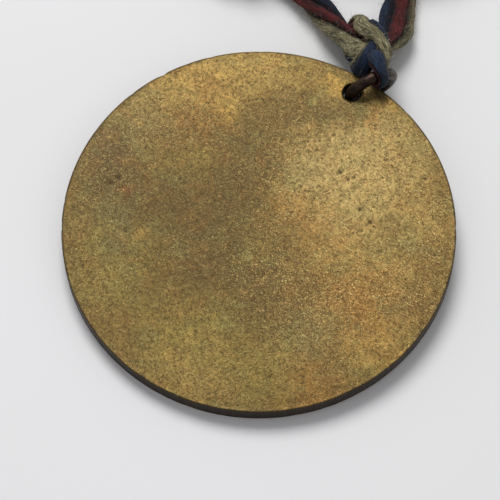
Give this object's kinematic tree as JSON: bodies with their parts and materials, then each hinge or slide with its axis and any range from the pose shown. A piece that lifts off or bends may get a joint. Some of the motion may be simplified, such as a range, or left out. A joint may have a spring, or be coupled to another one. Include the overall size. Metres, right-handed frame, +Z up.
{
  "type": "medal",
  "caption": "Round bronze award medal lying face down, with a jump ring through its edge hole and a twisted three-colour neck cord knotted to the ring.",
  "frame": {"origin": "on the table, under the middle of the box round the disc and its ring, as the medal lies face down", "axes": "+Z up from the table; +Y from the middle of the disc to its suspension hole; +X to the right of it"},
  "size_m": [0.0717, 0.1098, 0.0089],
  "materials": {
    "medal_bronze": "worn bronze patina, fine grained and mottled",
    "ring_bronze": "dark toned, worn",
    "cord_yarn": "soft twisted yarn in navy, crimson and cream"
  },
  "bodies": {
    "medal": {"medal_disc": "medal_bronze"},
    "ring": {"suspension_ring": "ring_bronze"},
    "cord": {"cord_knot": "cord_yarn", "cord_left": "cord_yarn", "cord_right": "cord_yarn", "cord_coil": "cord_yarn", "end_knot": "cord_yarn"}
  },
  "joints": [
    {"name": "ring_turn", "type": "hinge", "parent": "medal", "child": "ring", "pos_m": [0.00139, 0.02326, 0.00372], "axis": [-0.8532, 0.5026, 0.1392], "continuous": true},
    {"name": "cord_lift", "type": "hinge", "parent": "medal", "child": "cord", "pos_m": [0.00224, 0.02394, 0.00651], "axis": [0.4359, 0.8338, -0.3387], "range_deg": [0, 80]}
  ]
}
